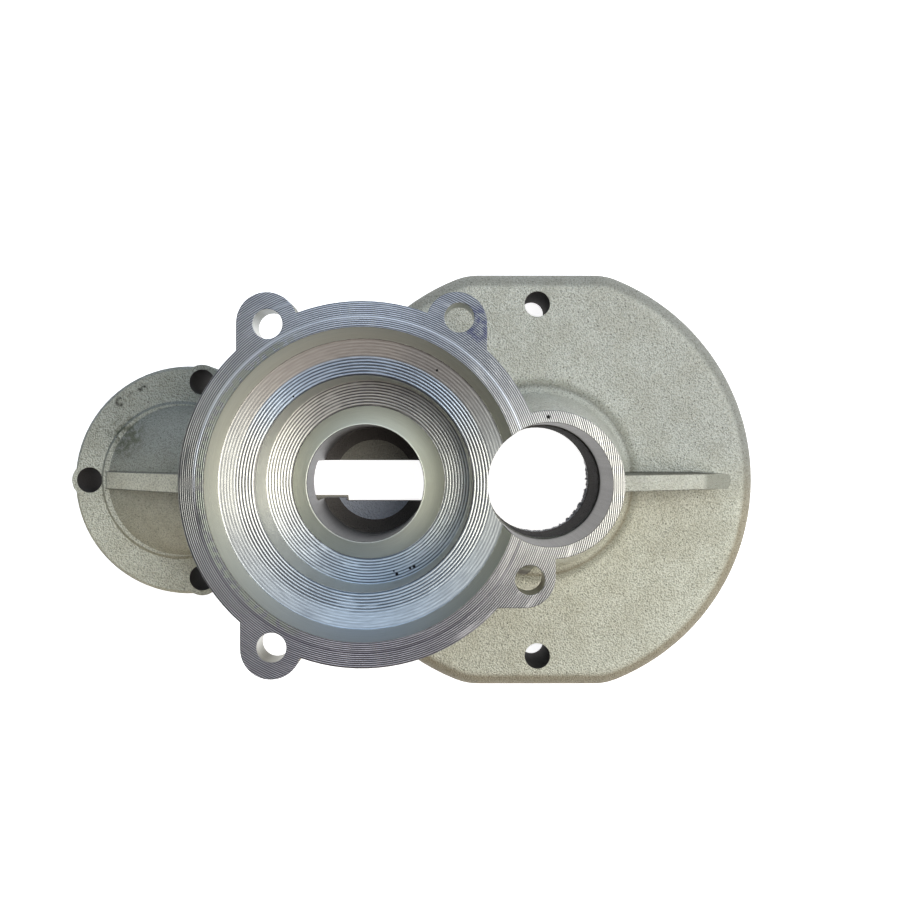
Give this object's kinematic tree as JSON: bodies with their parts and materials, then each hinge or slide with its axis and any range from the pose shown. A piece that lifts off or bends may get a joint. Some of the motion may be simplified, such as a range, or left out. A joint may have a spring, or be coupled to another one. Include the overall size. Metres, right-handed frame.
{
  "type": "gearbox housing half",
  "caption": "Die cast gearbox housing half with a turned motor flange, an offset output boss, a slanted cone to a bolted side lobe, and gusset ribs.",
  "frame": {"origin": "where the motor axis meets the joint face of the case", "axes": "+Z along the motor axis, out of the motor flange; +X from the motor axis to the output axis"},
  "size_m": [0.2219, 0.135, 0.062],
  "materials": {
    "cast_aluminium": "blasted casting with turned faces"
  },
  "bodies": {
    "root": {"housing": "cast_aluminium"}
  },
  "joints": []
}
